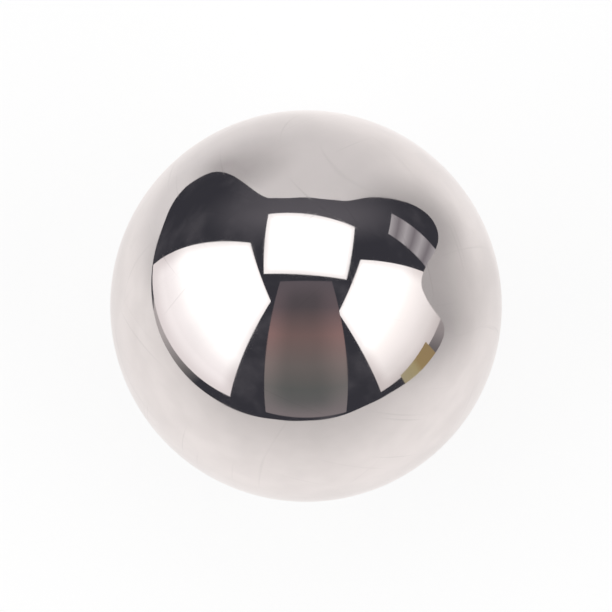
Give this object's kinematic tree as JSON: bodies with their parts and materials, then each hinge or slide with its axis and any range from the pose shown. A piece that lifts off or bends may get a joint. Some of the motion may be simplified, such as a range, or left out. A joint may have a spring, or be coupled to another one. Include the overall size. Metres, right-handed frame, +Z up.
{
  "type": "steel ball",
  "caption": "Loose solid steel ball with a bright mirror-polished surface, a true sphere made in one piece.",
  "frame": {"origin": "centre of the ball", "axes": "+Z up, away from the seat that the ball lies in; the ball is the same about every axis, so X and Y are free"},
  "size_m": [0.0126, 0.0126, 0.0126],
  "materials": {
    "polished_steel": "lapped and polished bare steel with a mirror shine, the faintest haze and fine hairline marks"
  },
  "bodies": {
    "root": {"ball": "polished_steel"}
  },
  "joints": []
}
